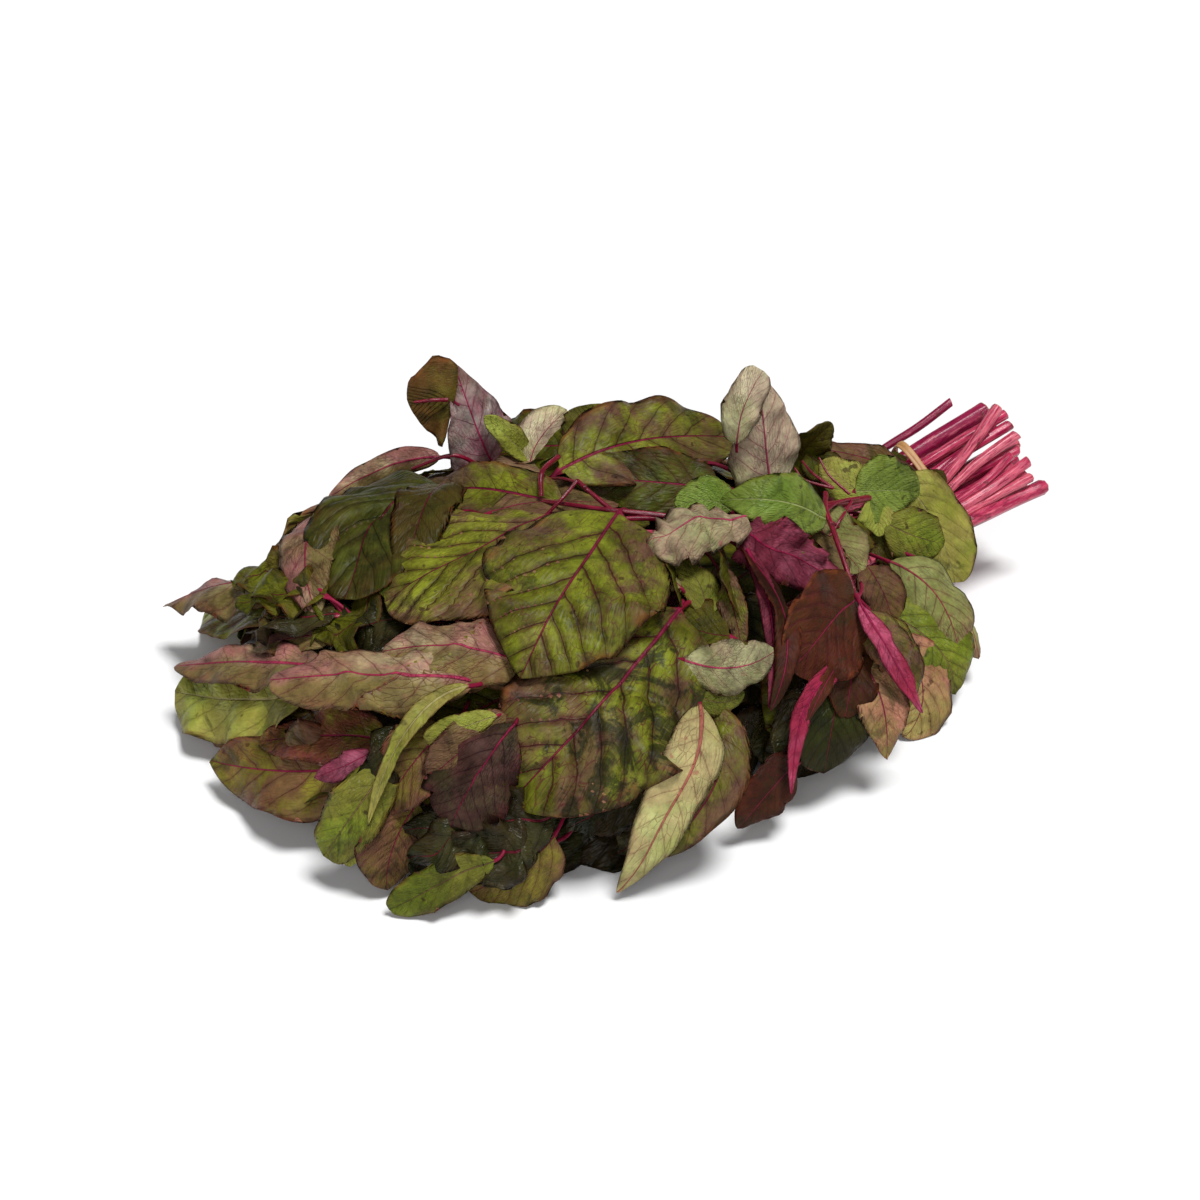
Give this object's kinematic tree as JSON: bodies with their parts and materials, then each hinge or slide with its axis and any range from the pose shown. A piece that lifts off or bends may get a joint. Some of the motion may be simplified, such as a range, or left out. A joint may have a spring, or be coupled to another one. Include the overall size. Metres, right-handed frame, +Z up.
{
  "type": "amaranth greens bunch",
  "caption": "Bunch of red-veined amaranth greens lying on its side, crimson stems tied at the neck and broad olive, green and mauve leaves heaped over them.",
  "frame": {"origin": "on the table, under the middle of the bunch's box", "axes": "+X towards the cut stem ends, -X towards the leaf tips, -Y the front where the broad leaves lie, +Z up"},
  "size_m": [0.444, 0.303, 0.1491],
  "materials": {
    "olive_leaf": "satin olive blade with purple veins and an orange-brown margin, mauve underside",
    "fresh_leaf": "satin fresh green blade with pale veins",
    "dark_leaf": "dark green to near-black blade, partly wilted",
    "pale_leaf": "matte grey-green underside with magenta veins",
    "mauve_leaf": "matte mauve to tan underside with a magenta midrib",
    "pink_leaf": "bright magenta underside",
    "brown_leaf": "olive-brown to orange-brown ageing blade",
    "red_leaf": "red-brown blade",
    "stem": "glossy crimson to pink skin with pale streaks, pale green or brown cut ends",
    "rubber_band": "tan elastic"
  },
  "bodies": {
    "root": {"rubber_band": "rubber_band", "stem_1": "stem", "stem_2": "stem", "stem_3": "stem", "stem_4": "stem", "stem_5": "stem", "stem_6": "stem", "stem_7": "stem", "stem_8": "stem", "stem_9": "stem", "stem_10": "stem", "stem_11": "stem", "stem_12": "stem", "leaf_centre_upper": "olive_leaf", "leaf_centre_left": "olive_leaf", "leaf_centre_lower": "olive_leaf", "leaf_left_folded": "dark_leaf", "leaf_top_wide": "olive_leaf", "leaf_top_crest": "mauve_leaf", "leaf_top_flap": "brown_leaf", "leaf_top_long": "olive_leaf", "leaf_top_under": "olive_leaf", "leaf_upright_pale": "pale_leaf", "leaf_upright_tip": "pale_leaf", "leaf_fresh_front": "fresh_leaf", "leaf_pale_curled": "pale_leaf", "leaf_magenta_under": "pink_leaf", "leaf_fresh_pair": "fresh_leaf", "leaf_right_big": "fresh_leaf", "leaf_right_brown": "brown_leaf", "leaf_right_edge": "pale_leaf", "leaf_right_blister": "pale_leaf", "leaf_right_bright": "fresh_leaf", "leaf_right_orange": "brown_leaf", "leaf_pink_fold": "pink_leaf", "leaf_red_brown": "red_leaf", "leaf_dark_hanging": "dark_leaf", "leaf_twisted": "pale_leaf", "leaf_long_pink": "mauve_leaf", "leaf_left_green": "fresh_leaf", "leaf_left_brown": "brown_leaf", "leaf_low_green": "fresh_leaf", "leaf_mauve_dark": "mauve_leaf", "leaf_bottom_green": "fresh_leaf", "leaf_far_left": "mauve_leaf", "leaf_back_top": "olive_leaf", "leaf_back_upper": "olive_leaf", "leaf_back_left": "brown_leaf", "leaf_back_right": "fresh_leaf", "leaf_back_middle": "olive_leaf", "leaf_back_lower": "dark_leaf", "leaf_back_end": "olive_leaf", "leaf_inner_right": "dark_leaf", "leaf_inner_middle": "dark_leaf", "leaf_inner_left": "dark_leaf", "leaf_under_right": "olive_leaf", "leaf_under_neck": "olive_leaf", "leaf_under_front": "dark_leaf", "leaf_under_back": "olive_leaf", "leaf_under_left": "brown_leaf"}
  },
  "joints": []
}
